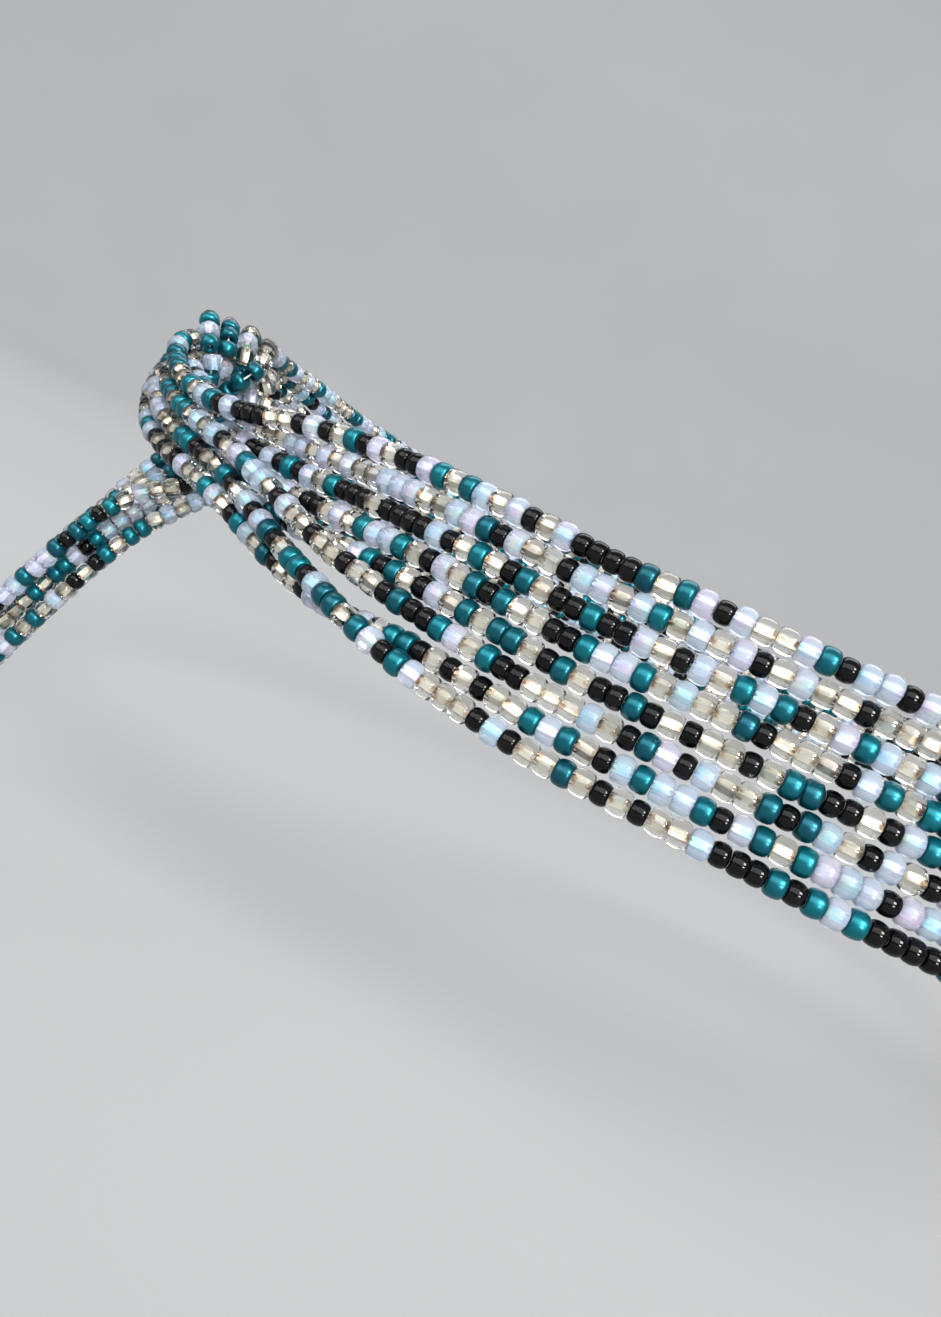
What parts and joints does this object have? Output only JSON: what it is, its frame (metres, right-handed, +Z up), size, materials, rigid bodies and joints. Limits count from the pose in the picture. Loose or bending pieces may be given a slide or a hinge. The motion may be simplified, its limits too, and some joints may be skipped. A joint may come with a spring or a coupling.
{
  "type": "waist beads",
  "caption": "Waist beads in their worn form: a band of small glass seed-bead strands round the waist, drawn through itself in a side knot, with a tail hanging from it.",
  "frame": {"origin": "middle of the waist the band goes round, at the height of the middle of the band", "axes": "+Z up along the wearer's body, -Y the wearer's front, -X the side the knot and the tail are on"},
  "size_m": [0.3359, 0.2143, 0.0851],
  "materials": {
    "frosted_glass": "frosted",
    "clear_glass": "gloss",
    "black_glass": "gloss",
    "teal_glass": "gloss",
    "thread": "matte"
  },
  "bodies": {
    "root": {"strand_1": "frosted_glass", "strand_2": "clear_glass", "strand_3": "black_glass", "strand_4": "teal_glass", "strand_5": "black_glass", "strand_6": "clear_glass", "strand_7": "frosted_glass", "strand_8": "teal_glass"}
  },
  "joints": []
}
